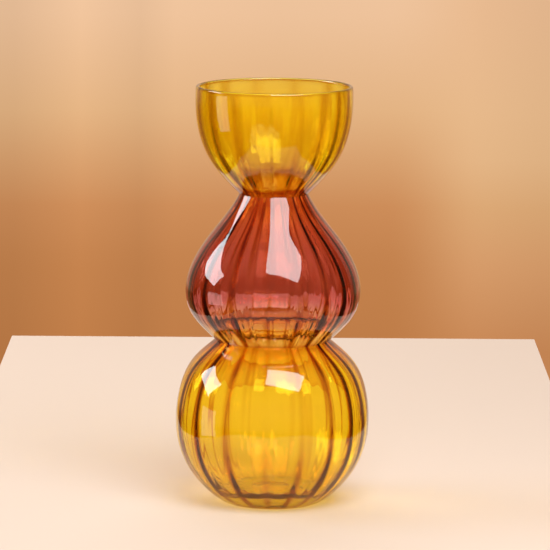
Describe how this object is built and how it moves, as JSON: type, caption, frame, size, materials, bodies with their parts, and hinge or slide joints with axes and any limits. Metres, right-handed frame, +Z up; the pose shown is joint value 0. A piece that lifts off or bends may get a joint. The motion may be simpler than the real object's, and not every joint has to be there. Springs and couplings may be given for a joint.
{
  "type": "vase",
  "caption": "Free-standing blown glass vase: an open bowl over a pear-shaped bulb over a round bulb, with pinched necks, soft upright ribs and an amber to cranberry to amber colour change.",
  "frame": {"origin": "middle of the flat underside, on the surface that the vase stands on", "axes": "+Z up along the vase's axis, -Y towards the viewer, +X to the viewer's right"},
  "size_m": [0.116, 0.116, 0.25],
  "materials": {
    "casing_glass": "fire-polished clear",
    "pad_glass": "polished pale straw",
    "lower_amber_glass": "polished amber",
    "cranberry_glass": "polished cranberry",
    "upper_amber_glass": "polished amber"
  },
  "bodies": {
    "root": {"base_pad": "pad_glass", "lower_bulb": "casing_glass", "lower_bulb_colour": "lower_amber_glass", "middle_bulb": "casing_glass", "middle_bulb_colour": "cranberry_glass", "upper_bowl": "casing_glass", "upper_bowl_colour": "upper_amber_glass"}
  },
  "joints": []
}
